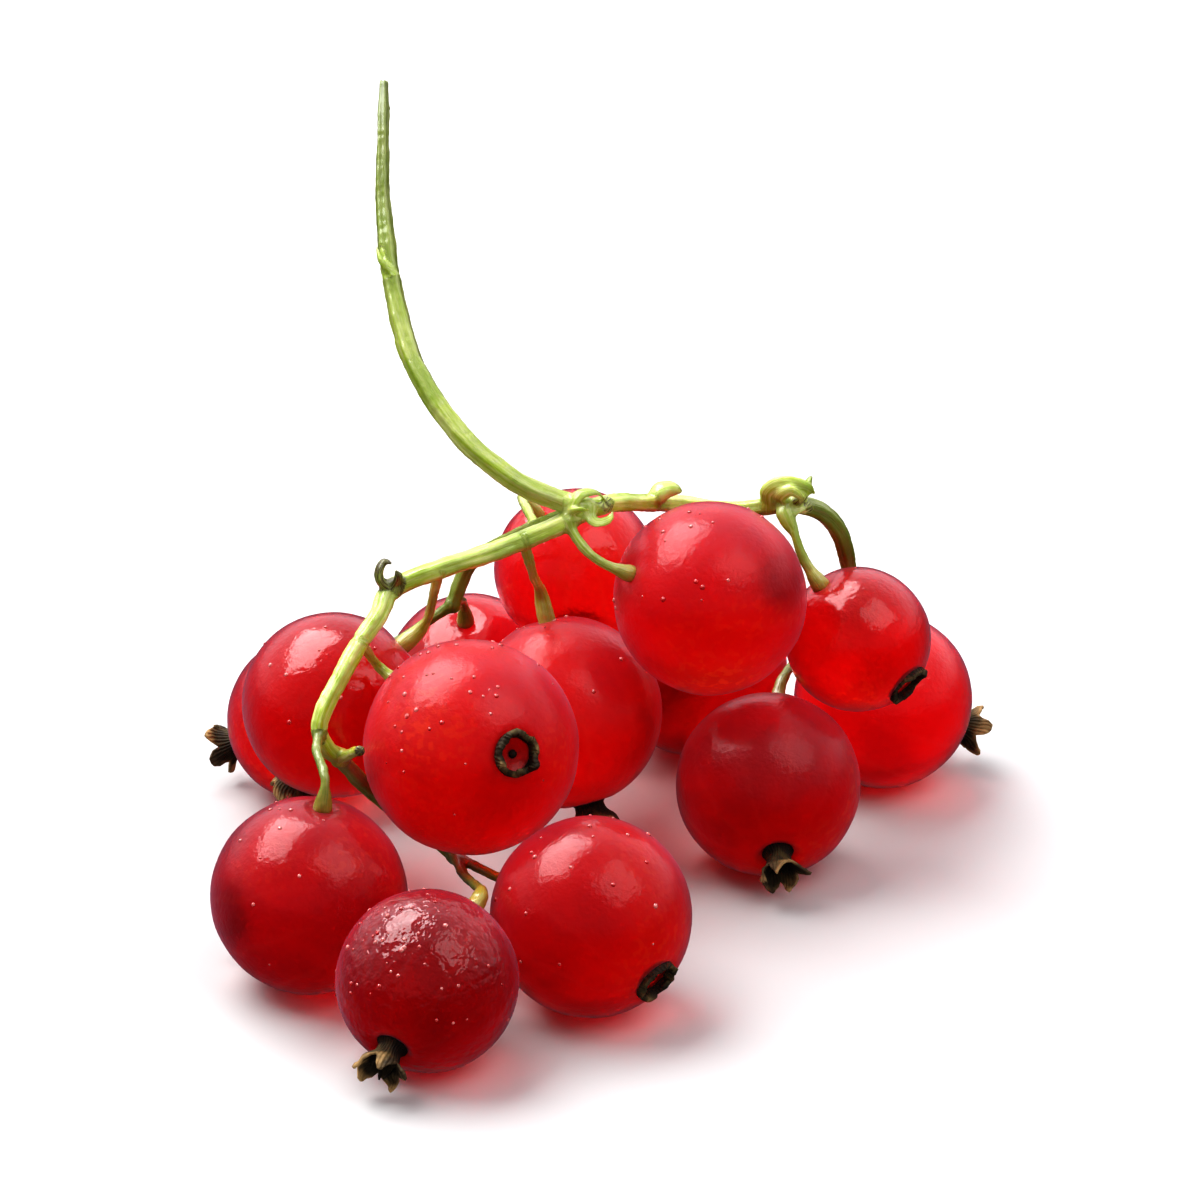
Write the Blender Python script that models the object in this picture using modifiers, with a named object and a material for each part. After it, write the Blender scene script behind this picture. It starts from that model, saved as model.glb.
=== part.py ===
# Redcurrant strig, laid down: one forked green stem, fourteen red berries, and a dried flower on each.
# Lengths are in millimetres in the tables and in metres in the model. +Y points away from the viewer,
# and +Z up.
# The floor is z = 0, and the berries that lie on it are cut flat there by a hair.

import math

import bmesh
import bpy
from mathutils import Quaternion, Vector

MM = 0.001

# How pieces meet
SEAT_GAP = 0.3            # between a berry and the stem or dried flower on it
FOOT_CUT = 0.15           # how much of a berry's round underside the floor cuts away

# Berry
BERRY_SIDES = 18
BERRY_ROWS = 10
DIMPLE_DEPTH = 0.5        # dent under the dried flower
DIMPLE_FLOOR_R = 1.0
DIMPLE_RIM_R = 1.5

# Dried flower
LOBES = 5
CALYX_BASE_R = 0.75
CALYX_WAIST_R = 0.6
CALYX_MOUTH_R = 1.15
CALYX_WALL = 0.3
LOBE_FLARE = 0.12         # share by which a lobe's tip stands out, and a notch stands in
LOBE_RISE = 0.2           # share by which a lobe's tip is longer, and a notch is shorter

# Stem thicknesses, as radii
STALK_TIP_R = 0.28
STALK_R = 0.54
ARM_R = 0.5
ARM_END_R = 0.36
THIN_ARM_R = 0.42
PEDICEL_R = 0.27
PEDICEL_ROOT_R = 0.32
RECEPTACLE_R = 0.5        # swollen end of a pedicel, on the berry
RECEPTACLE_LENGTH = 1.1
BRACT_R = 0.3
BRACT_TIP_R = 0.08
STEM_STEP = 1.2           # spacing of the rings along the stem
FINE_STEP = 0.6           # the same along bracts and curls

# Colours, as red, green, blue
BERRY_RED = (0.62, 0.01, 0.02)
STEM_GREEN = (0.33, 0.47, 0.06)
FLOWER_BROWN = (0.12, 0.07, 0.03)

# Knots of the stem
KNOT_0 = (0.2, 6.6, 19.6)       # where stalk and arms meet
KNOT_1 = (-9.4, 2.3, 17.2)      # where the left arm bends down
KNOT_2 = (-12.0, -2.0, 9.9)     # low on the left arm
KNOT_3 = (10.5, 12.1, 17.4)     # end of the right arm
KNOT_4 = (-6.3, -1.5, 4.2)      # end of the left arm, under the berries
KNOT_5 = (-6.6, 14.6, 10.6)     # end of the back arm
KNOT_6 = (13.3, 16.0, 9.8)      # end of the right arm's lower part
KNOT_RADII = {KNOT_0: 0.7, KNOT_1: 0.58, KNOT_2: 0.54, KNOT_3: 0.6, KNOT_4: 0.46, KNOT_5: 0.46, KNOT_6: 0.46}

# Routes of the stalk and the arms
STALK = [(-10.1, 23.4, 36.0), (-10.1, 20.9, 34.0), (-10.1, 18.5, 31.6), (-9.7, 15.6, 28.9),
         (-8.8, 12.4, 26.1), (-7.7, 10.4, 24.5), (-6.2, 8.6, 23.0), (-4.6, 7.3, 21.9), (-2.6, 6.5, 20.8),
         KNOT_0]
LEFT_ARM = [KNOT_0, (-1.0, 5.9, 19.1), (-2.9, 5.3, 18.5), (-5.0, 4.3, 18.1), (-7.1, 3.3, 17.8), KNOT_1,
            (-10.1, 1.1, 16.3), (-11.0, 0.1, 15.3), (-12.0, -1.2, 13.9), (-12.8, -2.3, 12.7),
            (-13.0, -2.7, 11.7), (-12.6, -2.6, 10.7), KNOT_2, (-11.2, -0.3, 8.0), (-10.0, 0.5, 6.3),
            (-8.8, 0.7, 5.2), (-7.4, -0.1, 4.5), KNOT_4]
RIGHT_ARM = [KNOT_0, (1.4, 7.5, 19.5), (2.8, 9.4, 18.7), (4.9, 12.8, 17.1), (7.5, 12.5, 16.9), KNOT_3]
RIGHT_ARM_LOW = [KNOT_3, (12.0, 12.5, 16.9), (13.0, 12.9, 15.8), (13.5, 13.5, 14.2), (13.7, 14.7, 12.1),
                 KNOT_6]
BACK_ARM = [KNOT_0, (-2.3, 11.0, 16.6), (-4.2, 13.4, 14.5), (-5.7, 14.8, 12.8), KNOT_5]

# A berry whose height is LYING rests on the floor.
LYING = None

# Each berry: centre, radius, length of its dried flower, the way that the flower points, the way that
# the stem leaves, and the pedicel's route from the arm.
BERRIES = {
    "01": dict(centre=(6.5, 7.0, 14.5), radius=4.9, flower=1.1, facing=(0.55, 0.81, -0.2),
               stem=(-0.85, -0.3, 0.43), pedicel=[(-0.7, 6.0, 19.2), (-0.1, 5.2, 18.3)]),
    "02": dict(centre=(14.1, 10.2, 10.7), radius=3.7, flower=0.7, facing=(0.7, -0.52, -0.48),
               stem=(-0.55, 0.06, 0.83), pedicel=[KNOT_3, (10.8, 10.8, 16.4)]),
    "03": dict(centre=(-5.5, -2.0, 10.5), radius=5.4, flower=0.6, facing=(0.44, -0.84, 0.33),
               stem=(-0.68, 0.65, 0.34), pedicel=[(-11.0, 0.1, 15.3)]),
    "04": dict(centre=(-0.8, 8.7, 7.3), radius=4.9, flower=1.6, facing=(0.25, -0.35, -0.9),
               stem=(-0.2, 0.35, 0.91), pedicel=[(-2.9, 5.3, 18.5), (-2.4, 7.3, 15.6)]),
    "05": dict(centre=(-12.5, 6.0, 9.0), radius=4.7, flower=1.6, facing=(-0.4, 0.15, -0.9),
               stem=(0.75, 0.28, 0.6), pedicel=[(-7.1, 3.3, 17.8)]),
    "06": dict(centre=(-13.5, -7.0, LYING), radius=4.9, flower=1.5, facing=(-0.62, 0.64, -0.45),
               stem=(0.15, 0.06, 0.99), pedicel=[(-13.0, -2.7, 11.7), (-13.2, -3.9, 11.3)]),
    "07": dict(centre=(0.5, -9.5, LYING), radius=5.0, flower=0.8, facing=(0.66, -0.63, -0.41),
               stem=(-0.75, 0.66, 0.02), pedicel=[KNOT_4]),
    "08": dict(centre=(9.5, 6.0, LYING), radius=4.7, flower=1.6, facing=(0.1, -0.87, -0.45),
               stem=(0.1, 0.85, 0.5), pedicel=[KNOT_6, (11.3, 13.8, 8.3)]),
    "09": dict(centre=(15.6, 16.2, LYING), radius=4.6, flower=1.6, facing=(0.85, 0.3, -0.45),
               stem=(-0.3, 0.0, 0.95), pedicel=[KNOT_6]),
    "10": dict(centre=(-0.3, 17.4, 11.3), radius=4.2, flower=1.5, facing=(0.0, 0.5, -0.87),
               stem=(-0.5, -0.2, 0.84), pedicel=[(-2.3, 11.0, 16.6)]),
    "11": dict(centre=(-7.5, -15.5, LYING), radius=4.5, flower=1.6, facing=(-0.4, -0.8, -0.45),
               stem=(0.45, 0.8, 0.4), pedicel=[KNOT_4, (-5.8, -4.9, 4.8)]),
    "12": dict(centre=(-5.8, 19.2, LYING), radius=4.4, flower=1.6, facing=(-0.25, 0.85, -0.42),
               stem=(-0.05, -0.35, 0.93), pedicel=[KNOT_5]),
    "13": dict(centre=(6.0, 20.0, LYING), radius=4.7, flower=1.6, facing=(-0.1, 0.87, -0.45),
               stem=(0.55, -0.4, 0.73), pedicel=[KNOT_6]),
    "14": dict(centre=(-14.0, 14.5, LYING), radius=4.3, flower=1.5, facing=(-0.85, 0.25, -0.42),
               stem=(0.7, 0.0, 0.7), pedicel=[KNOT_5]),
}

# Bracts, stubs and the pedicel that lost its berry: route, root radius, tip radius
SMALL_PARTS = [
    ([KNOT_0, (-0.4, 6.1, 20.1), (0.0, 6.3, 20.6), (0.8, 6.7, 20.5), (1.3, 6.9, 19.9)], BRACT_R, BRACT_TIP_R),
    ([KNOT_0, (0.7, 5.7, 19.3), (1.4, 6.1, 19.3), (1.6, 6.6, 19.6)], BRACT_R, BRACT_TIP_R),
    ([KNOT_1, (-10.0, 2.1, 17.7), (-10.1, 2.2, 18.2), (-9.8, 2.4, 18.7)], BRACT_R, BRACT_TIP_R),
    ([KNOT_1, (-9.1, 1.9, 18.0), (-9.3, 1.8, 18.5)], BRACT_R, BRACT_TIP_R),
    ([KNOT_2, (-11.3, -3.6, 11.0), (-10.9, -5.1, 11.8)], BRACT_R, PEDICEL_R),
    ([(9.5, 12.1, 17.3), (9.5, 11.9, 18.3), (10.3, 12.0, 18.8), (11.3, 11.9, 18.7), (11.9, 12.0, 18.1)],
     BRACT_R, BRACT_TIP_R),
    ([KNOT_3, (10.1, 11.6, 18.0), (10.6, 11.3, 18.5), (11.1, 11.3, 18.2)], BRACT_R, BRACT_TIP_R),
    ([KNOT_3, (11.4, 12.1, 17.9), (11.7, 12.8, 18.6)], BRACT_R, BRACT_TIP_R),
    ([(3.8, 11.0, 18.0), (3.9, 10.9, 18.7), (4.4, 11.0, 18.9), (4.9, 11.2, 18.5)], BRACT_R, BRACT_TIP_R),
    ([(-9.6, 15.3, 28.6), (-10.1, 15.2, 29.4), (-10.4, 15.9, 30.1)], BRACT_R, BRACT_TIP_R),
]


def clear_scene():
    for thing in list(bpy.data.objects):
        bpy.data.objects.remove(thing)


def new_collection(name):
    group = bpy.data.collections.new(name)
    bpy.context.scene.collection.children.link(group)
    return group


def new_material(name, colour, roughness):
    material = bpy.data.materials.new(name)
    material.use_nodes = True
    shader = material.node_tree.nodes["Principled BSDF"]
    shader.inputs["Base Color"].default_value = (*colour, 1.0)
    shader.inputs["Roughness"].default_value = roughness
    shader.inputs["Metallic"].default_value = 0.0
    return material


def add_object(name, data, group, material=None):
    thing = bpy.data.objects.new(name, data)
    group.objects.link(thing)
    if material:
        data.materials.append(material)
    return thing


def berry_centre(berry):
    x, y, z = berry["centre"]
    if z is LYING:
        z = berry["radius"] - FOOT_CUT
    return Vector((x, y, z))


def turned_object(name, profile, sides, group, material):
    """A solid turned about its own Z axis from a profile of (radius, height) pairs in mm, top to bottom."""
    outline = bpy.data.meshes.new(name)
    points = [(radius * MM, 0.0, height * MM) for radius, height in profile]
    edges = [(i, i + 1) for i in range(len(points) - 1)]
    outline.from_pydata(points, edges, [])
    thing = add_object(name, outline, group, material)
    screw = thing.modifiers.new("Turn", "SCREW")
    screw.axis = "Z"
    screw.steps = sides
    screw.render_steps = sides
    screw.use_merge_vertices = True
    screw.merge_threshold = 0.00001
    screw.use_smooth_shade = True
    return thing


def turn_towards(thing, facing, spin):
    """Points the object's own Z axis along facing, after a turn by spin about that axis."""
    thing.rotation_mode = "QUATERNION"
    thing.rotation_quaternion = Vector(facing).to_track_quat("Z", "Y") @ Quaternion((0.0, 0.0, 1.0), spin)


def berry_profile(radius):
    """The berry's half outline: the dent under the dried flower, then the round flesh."""
    rim_angle = math.asin(DIMPLE_RIM_R / radius)
    profile = [(0.0, radius - DIMPLE_DEPTH), (DIMPLE_FLOOR_R, radius - DIMPLE_DEPTH)]
    for row in range(BERRY_ROWS):
        angle = rim_angle + (math.pi - rim_angle) * row / BERRY_ROWS
        profile.append((radius * math.sin(angle), radius * math.cos(angle)))
    profile.append((0.0, -radius))
    return profile


def make_berry(number, berry, group, material, floor):
    """One turned berry. The ones that lie on the floor are cut flat by it."""
    thing = turned_object("berry_" + number, berry_profile(berry["radius"]), BERRY_SIDES, group, material)
    turn_towards(thing, berry["facing"], 0.0)
    thing.location = berry_centre(berry) * MM
    if berry["centre"][2] is LYING:
        cut = thing.modifiers.new("Foot", "BOOLEAN")
        cut.operation = "DIFFERENCE"
        cut.solver = "EXACT"
        cut.object = floor
    return thing


def flower_profile(length):
    """Half outline of the withered cup: hollow inside, flared lip, narrow waist, flat base."""
    inner_waist = CALYX_WAIST_R - CALYX_WALL * 0.5
    return [
        (0.0, length * 0.3), (inner_waist, length * 0.35), (CALYX_MOUTH_R - CALYX_WALL, length),
        (CALYX_MOUTH_R, length * 0.95), (CALYX_WAIST_R + CALYX_WALL * 0.5, length * 0.35),
        (CALYX_BASE_R, 0.0), (0.0, 0.0),
    ]


def make_flower(number, berry, group, material):
    """The dried flower: a turned cup whose lip is drawn out into withered lobes."""
    name = "calyx_" + number
    length = berry["flower"] + DIMPLE_DEPTH - SEAT_GAP
    cup = turned_object(name + "_cup", flower_profile(length), LOBES * 2, group, material)
    graph = bpy.context.evaluated_depsgraph_get()
    mesh = bpy.data.meshes.new_from_object(cup.evaluated_get(graph))
    bpy.data.objects.remove(cup)
    mesh.name = name
    for vertex in mesh.vertices:
        around = math.atan2(vertex.co.y, vertex.co.x)
        height = max(vertex.co.z / (length * MM), 0.0)
        lobe = math.cos(LOBES * around) * height
        vertex.co.x *= 1.0 + LOBE_FLARE * lobe
        vertex.co.y *= 1.0 + LOBE_FLARE * lobe
        if height > 0.5:
            vertex.co.z *= 1.0 + LOBE_RISE * lobe
    thing = add_object(name, mesh, group)
    turn_towards(thing, berry["facing"], int(number) * math.radians(23))
    seat = berry["radius"] - DIMPLE_DEPTH + SEAT_GAP
    thing.location = (berry_centre(berry) + Vector(berry["facing"]).normalized() * seat) * MM
    return thing


def smooth_route(points, radii, step):
    """Points and radii along a smooth curve through the route's points, about one step apart."""
    points = [Vector(point) for point in points]
    first = points[0] * 2 - points[1]
    last = points[-1] * 2 - points[-2]
    padded = [first] + points + [last]
    lengths = [(b - a).length for a, b in zip(points, points[1:])]
    whole = sum(lengths)
    out = []
    walked = 0.0
    for i, length in enumerate(lengths):
        p0, p1, p2, p3 = padded[i:i + 4]
        count = max(1, round(length / step))
        for k in range(count):
            t = k / count
            place = 0.5 * (2 * p1 + (p2 - p0) * t + (2 * p0 - 5 * p1 + 4 * p2 - p3) * t ** 2
                           + (3 * p1 - p0 - 3 * p2 + p3) * t ** 3)
            out.append((place, radius_at(radii, (walked + length * t) / whole)))
        walked += length
    out.append((points[-1], radii[-1][1]))
    return out


def radius_at(radii, share):
    """Radius at a share of the way along, from (share, radius) pairs."""
    for (s0, r0), (s1, r1) in zip(radii, radii[1:]):
        if share <= s1:
            return r0 + (r1 - r0) * (share - s0) / (s1 - s0)
    return radii[-1][1]


def tube(name, ring_points, roundness, group):
    """A closed round tube through (place, radius) pairs, as a mesh."""
    curve = bpy.data.curves.new(name, "CURVE")
    curve.dimensions = "3D"
    curve.bevel_depth = MM
    curve.bevel_resolution = roundness
    curve.use_fill_caps = True
    spline = curve.splines.new("POLY")
    spline.points.add(len(ring_points) - 1)
    for point, (place, radius) in zip(spline.points, ring_points):
        point.co = (*(place * MM), 1.0)
        point.radius = radius
    line = add_object(name + "_line", curve, group)
    graph = bpy.context.evaluated_depsgraph_get()
    mesh = bpy.data.meshes.new_from_object(line.evaluated_get(graph))
    matrix = line.matrix_world.copy()
    bpy.data.objects.remove(line)
    weld(mesh)
    thing = add_object(name, mesh, group)
    thing.matrix_world = matrix
    return thing


def weld(mesh):
    shell = bmesh.new()
    shell.from_mesh(mesh)
    bmesh.ops.remove_doubles(shell, verts=shell.verts, dist=0.000001)
    bmesh.ops.recalc_face_normals(shell, faces=shell.faces)
    shell.to_mesh(mesh)
    shell.free()


def knot(name, place, radius, group):
    """A swollen knot where stems meet."""
    mesh = bpy.data.meshes.new(name)
    shell = bmesh.new()
    bmesh.ops.create_uvsphere(shell, u_segments=9, v_segments=6, radius=radius * MM)
    shell.to_mesh(mesh)
    shell.free()
    thing = add_object(name, mesh, group)
    thing.location = Vector(place) * MM
    return thing


def pedicel_rings(berry):
    """A berry's own little stem: a thin stretch from the arm, then a swollen end square to the berry."""
    centre = berry_centre(berry)
    way = Vector(berry["stem"]).normalized()
    end = centre + way * (berry["radius"] + SEAT_GAP)
    neck = end + way * RECEPTACLE_LENGTH
    radii = [(0.0, PEDICEL_ROOT_R), (0.3, PEDICEL_R), (1.0, PEDICEL_R)]
    route = smooth_route([*berry["pedicel"], neck], radii, STEM_STEP)
    middle = neck.lerp(end, 0.6)
    return route + [(middle, RECEPTACLE_R * 0.85), (end, RECEPTACLE_R)]


def make_strig(group, material):
    """The whole green stem as one body: every piece is sunk into the next, then all are joined."""
    pieces = new_collection("strig_pieces")
    arms = {
        "left_arm": (LEFT_ARM, [(0.0, ARM_R), (0.5, ARM_R * 0.9), (1.0, ARM_END_R)]),
        "right_arm": (RIGHT_ARM, [(0.0, ARM_R), (1.0, THIN_ARM_R)]),
        "right_arm_low": (RIGHT_ARM_LOW, [(0.0, THIN_ARM_R), (1.0, ARM_END_R)]),
        "back_arm": (BACK_ARM, [(0.0, THIN_ARM_R), (1.0, ARM_END_R)]),
    }
    for name, (route, radii) in arms.items():
        tube(name, smooth_route(route, radii, STEM_STEP), 2, pieces)
    for number, berry in BERRIES.items():
        tube("pedicel_" + number, pedicel_rings(berry), 1, pieces)
    for i, (route, root, tip) in enumerate(SMALL_PARTS):
        radii = [(0.0, root), (0.5, root * 0.8), (1.0, tip)]
        tube("small_%d" % i, smooth_route(route, radii, FINE_STEP), 0, pieces)
    for i, (place, radius) in enumerate(KNOT_RADII.items()):
        knot("knot_%d" % i, place, radius, pieces)

    stalk_radii = [(0.0, STALK_TIP_R), (0.2, STALK_R * 0.7), (0.4, STALK_R * 0.9), (0.6, STALK_R),
                   (1.0, STALK_R)]
    stalk = tube("stalk", smooth_route(STALK, stalk_radii, STEM_STEP), 2, group)
    join = stalk.modifiers.new("Join", "BOOLEAN")
    join.operation = "UNION"
    join.operand_type = "COLLECTION"
    join.collection = pieces
    join.solver = "EXACT"
    graph = bpy.context.evaluated_depsgraph_get()
    mesh = bpy.data.meshes.new_from_object(stalk.evaluated_get(graph))
    mesh.name = "strig"
    mesh.materials.clear()
    mesh.shade_smooth()
    mesh.set_sharp_from_angle(angle=math.radians(50))
    bpy.data.objects.remove(stalk)
    for piece in list(pieces.objects):
        bpy.data.objects.remove(piece)
    bpy.data.collections.remove(pieces)
    return add_object("strig", mesh, group, material)


def make_floor_cutter():
    """A block with its top at z = 0, which cuts the feet of the berries that lie on the floor."""
    cutters = new_collection("cutters")
    bpy.ops.mesh.primitive_cube_add(size=1.0)
    floor = bpy.context.object
    floor.name = "floor_cutter"
    for owner in list(floor.users_collection):
        owner.objects.unlink(floor)
    cutters.objects.link(floor)
    floor.scale = (120 * MM, 120 * MM, 10 * MM)
    floor.location = (0.0, 0.0, -5 * MM)
    floor.hide_render = True
    floor.display_type = "WIRE"
    return floor


def stand_on_origin(group):
    """Hangs every piece on one empty, so that the origin is under the middle of the whole bunch."""
    bpy.context.view_layer.update()
    graph = bpy.context.evaluated_depsgraph_get()
    corners = []
    for thing in group.objects:
        shape = thing.evaluated_get(graph)
        corners += [shape.matrix_world @ vertex.co for vertex in shape.data.vertices]
    middle_x = (min(c.x for c in corners) + max(c.x for c in corners)) / 2
    middle_y = (min(c.y for c in corners) + max(c.y for c in corners)) / 2
    base = bpy.data.objects.new("base", None)
    group.objects.link(base)
    for thing in group.objects:
        if thing is not base:
            thing.parent = base
    base.location = (-middle_x, -middle_y, 0.0)
    bpy.context.view_layer.update()
    print("shift in mm:", round(-middle_x / MM, 3), round(-middle_y / MM, 3))


def main():
    clear_scene()
    group = new_collection("redcurrant_strig")
    berry_skin = new_material("berry_red", BERRY_RED, 0.25)
    stem_skin = new_material("stem_green", STEM_GREEN, 0.5)
    flower_skin = new_material("flower_brown", FLOWER_BROWN, 0.8)
    floor = make_floor_cutter()
    make_strig(group, stem_skin)
    for number, berry in BERRIES.items():
        make_berry(number, berry, group, berry_skin, floor)
        make_flower(number, berry, group, flower_skin)
    stand_on_origin(group)


main()
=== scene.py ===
# %% [markdown]
# # A strig of redcurrants
# A strig is the whole bunch: one green stem that forks, and a berry on each little side stem. The solids
# are already there as a frame. This lesson dresses them: it makes a fine mesh for every piece, and a
# material with the detail that the real one shows. Lengths in the tables are in millimetres, and
# everything in the model is in metres.

# %% Load the frame and keep its box
import math
import random

import bmesh
import bpy
from mathutils import Matrix, Vector, noise
from mathutils.kdtree import KDTree


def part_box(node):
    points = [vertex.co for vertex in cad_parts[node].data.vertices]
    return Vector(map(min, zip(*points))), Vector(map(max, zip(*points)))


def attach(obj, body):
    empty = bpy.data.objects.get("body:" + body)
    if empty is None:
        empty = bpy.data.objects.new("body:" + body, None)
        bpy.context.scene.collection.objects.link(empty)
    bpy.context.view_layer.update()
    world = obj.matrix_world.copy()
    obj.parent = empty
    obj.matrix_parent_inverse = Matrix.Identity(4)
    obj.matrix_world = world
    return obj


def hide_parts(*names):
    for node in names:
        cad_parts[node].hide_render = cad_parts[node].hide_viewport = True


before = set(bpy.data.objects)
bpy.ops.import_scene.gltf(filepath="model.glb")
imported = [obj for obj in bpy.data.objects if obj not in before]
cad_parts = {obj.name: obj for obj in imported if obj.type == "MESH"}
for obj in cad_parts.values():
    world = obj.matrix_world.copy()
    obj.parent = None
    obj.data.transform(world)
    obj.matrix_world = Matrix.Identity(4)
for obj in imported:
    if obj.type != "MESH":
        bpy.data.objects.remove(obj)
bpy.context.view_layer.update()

MM = 0.001

# %% [markdown]
# ## Where everything is
# Each berry has a centre, a radius, the way that its dried flower faces and the way that its stem leaves.
# These are the same design values that the solids were built from, so the fine pieces land where the
# solids are. `flower` is how far the dried flower stands out, and `pedicel` lists what the side stem
# passes: places, and knots by name. `skin` says how the berry shines: some are wiped to a gloss, some
# still have their soft natural bloom, and one is wet. `tone` says how bright its flesh is. A berry whose
# height is LYING rests on the table with a small flat foot.

# %% The berries
LYING = None
BERRIES = {
    "01": dict(centre=(6.5, 7.0, 14.5), radius=4.9, flower=1.1, facing=(0.55, 0.81, -0.2),
               stem=(-0.85, -0.3, 0.43), pedicel=[(-0.7, 6.0, 19.2), (-0.1, 5.2, 18.3)],
               skin="satin", tone=0.65),
    "02": dict(centre=(14.1, 10.2, 10.7), radius=3.7, flower=0.7, facing=(0.7, -0.52, -0.48),
               stem=(-0.55, 0.06, 0.83), pedicel=["K3", (10.8, 10.8, 16.4)], skin="gloss", tone=0.95),
    "03": dict(centre=(-5.5, -2.0, 10.5), radius=5.4, flower=0.6, facing=(0.44, -0.84, 0.33),
               stem=(-0.68, 0.65, 0.34), pedicel=[(-11.0, 0.1, 15.3)], skin="satin", tone=1.0),
    "04": dict(centre=(-0.8, 8.7, 7.3), radius=4.9, flower=1.6, facing=(0.25, -0.35, -0.9),
               stem=(-0.2, 0.35, 0.91), pedicel=[(-2.9, 5.3, 18.5), (-2.4, 7.3, 15.6)],
               skin="satin", tone=0.95),
    "05": dict(centre=(-12.5, 6.0, 9.0), radius=4.7, flower=1.6, facing=(-0.4, 0.15, -0.9),
               stem=(0.75, 0.28, 0.6), pedicel=[(-7.1, 3.3, 17.8)], skin="gloss", tone=0.8),
    "06": dict(centre=(-13.5, -7.0, LYING), radius=4.9, flower=1.5, facing=(-0.62, 0.64, -0.45),
               stem=(0.15, 0.06, 0.99), pedicel=[(-13.0, -2.7, 11.7), (-13.2, -3.9, 11.3)],
               skin="soft_gloss", tone=0.12),
    "07": dict(centre=(0.5, -9.5, LYING), radius=5.0, flower=0.8, facing=(0.66, -0.63, -0.41),
               stem=(-0.75, 0.66, 0.02), pedicel=["K4"], skin="soft_gloss", tone=0.6),
    "08": dict(centre=(9.5, 6.0, LYING), radius=4.7, flower=1.6, facing=(0.1, -0.87, -0.45),
               stem=(0.1, 0.85, 0.5), pedicel=["K6", (11.3, 13.8, 8.3)], skin="satin", tone=0.45),
    "09": dict(centre=(15.6, 16.2, LYING), radius=4.6, flower=1.6, facing=(0.85, 0.3, -0.45),
               stem=(-0.3, 0.0, 0.95), pedicel=["K6"], skin="gloss", tone=0.6),
    "10": dict(centre=(-0.3, 17.4, 11.3), radius=4.2, flower=1.5, facing=(0.0, 0.5, -0.87),
               stem=(-0.5, -0.2, 0.84), pedicel=[(-2.3, 11.0, 16.6)], skin="gloss", tone=0.85),
    "11": dict(centre=(-7.5, -15.5, LYING), radius=4.5, flower=1.6, facing=(-0.4, -0.8, -0.45),
               stem=(0.45, 0.8, 0.4), pedicel=["K4", (-5.8, -4.9, 4.8)], skin="wet", tone=0.0),
    "12": dict(centre=(-5.8, 19.2, LYING), radius=4.4, flower=1.6, facing=(-0.25, 0.85, -0.42),
               stem=(-0.05, -0.35, 0.93), pedicel=["K5"], skin="gloss", tone=0.7),
    "13": dict(centre=(6.0, 20.0, LYING), radius=4.7, flower=1.6, facing=(-0.1, 0.87, -0.45),
               stem=(0.55, -0.4, 0.73), pedicel=["K6"], skin="satin", tone=0.5),
    "14": dict(centre=(-14.0, 14.5, LYING), radius=4.3, flower=1.5, facing=(-0.85, 0.25, -0.42),
               stem=(0.7, 0.0, 0.7), pedicel=["K5"], skin="gloss", tone=0.4),
}
print("berries listed:", len(BERRIES))

# %% Line the tables up with the frame
FOOT_CUT = 0.15


def frame_shift():
    """From the tables' origin to the frame's, read off a berry: its box is centred on it."""
    low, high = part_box("berry_03")
    middle = (low + high) / 2
    listed = Vector(BERRIES["03"]["centre"]) * MM
    return Vector((middle.x - listed.x, middle.y - listed.y, 0.0))


SHIFT = frame_shift()
print("shift in mm:", [round(c / MM, 2) for c in SHIFT])


def listed_centre(berry):
    """A berry's centre in the tables' millimetres, also where the berry lies on its foot."""
    x, y, z = berry["centre"]
    if z is LYING:
        z = berry["radius"] - FOOT_CUT
    return Vector((x, y, z))


def berry_centre(berry):
    """A berry's centre as a place in the frame, in metres."""
    return listed_centre(berry) * MM + SHIFT


# %% [markdown]
# ## The berries' shape
# A redcurrant is almost a ball. It has a shallow dent under the dried flower at one end, and a smaller
# dent where the stem goes in. A ball primitive would do for the round part, but a half outline that is
# spun about the berry's own axis brings the dent with it, and its faces run from pole to pole as the
# veins do, which the skin's pattern needs.

# %% The outline
BERRY_ROWS = 44
DENT_DEPTH = 0.5
DENT_WIDTH = 0.95
DENT_SQUARENESS = 4


def berry_outline(radius):
    """Half outline from the flower's pole to the other pole, as (distance from the axis, height)."""
    points = []
    for row in range(BERRY_ROWS + 1):
        angle = math.pi * row / BERRY_ROWS
        across = radius * math.sin(angle)
        fade = math.exp(-(across / DENT_WIDTH) ** DENT_SQUARENESS)
        dent = DENT_DEPTH * fade if angle < math.pi / 2 else 0.0
        points.append((across, radius * math.cos(angle) - dent))
    points[0] = (0.0, points[0][1])
    points[-1] = (0.0, points[-1][1])
    return points


print("outline rows:", BERRY_ROWS)

# %% Spin the outline and map its skin
BERRY_TURNS = 72

# In metres: corners this near are one, and a corner this near the axis is a pole.
WELD_GAP = 0.000002
POLE_REACH = 0.00002


def spin_outline(points, turns):
    """A bmesh turned about Z from a half outline, in metres, closed at both poles."""
    shell = bmesh.new()
    corners = [shell.verts.new((across * MM, 0.0, height * MM)) for across, height in points]
    edges = [shell.edges.new(pair) for pair in zip(corners, corners[1:])]
    bmesh.ops.spin(shell, geom=corners + edges, cent=(0, 0, 0), axis=(0, 0, 1), angle=math.tau,
                   steps=turns, use_merge=True, use_duplicate=False)
    bmesh.ops.remove_doubles(shell, verts=shell.verts, dist=WELD_GAP)
    bmesh.ops.recalc_face_normals(shell, faces=shell.faces)
    return shell


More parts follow.
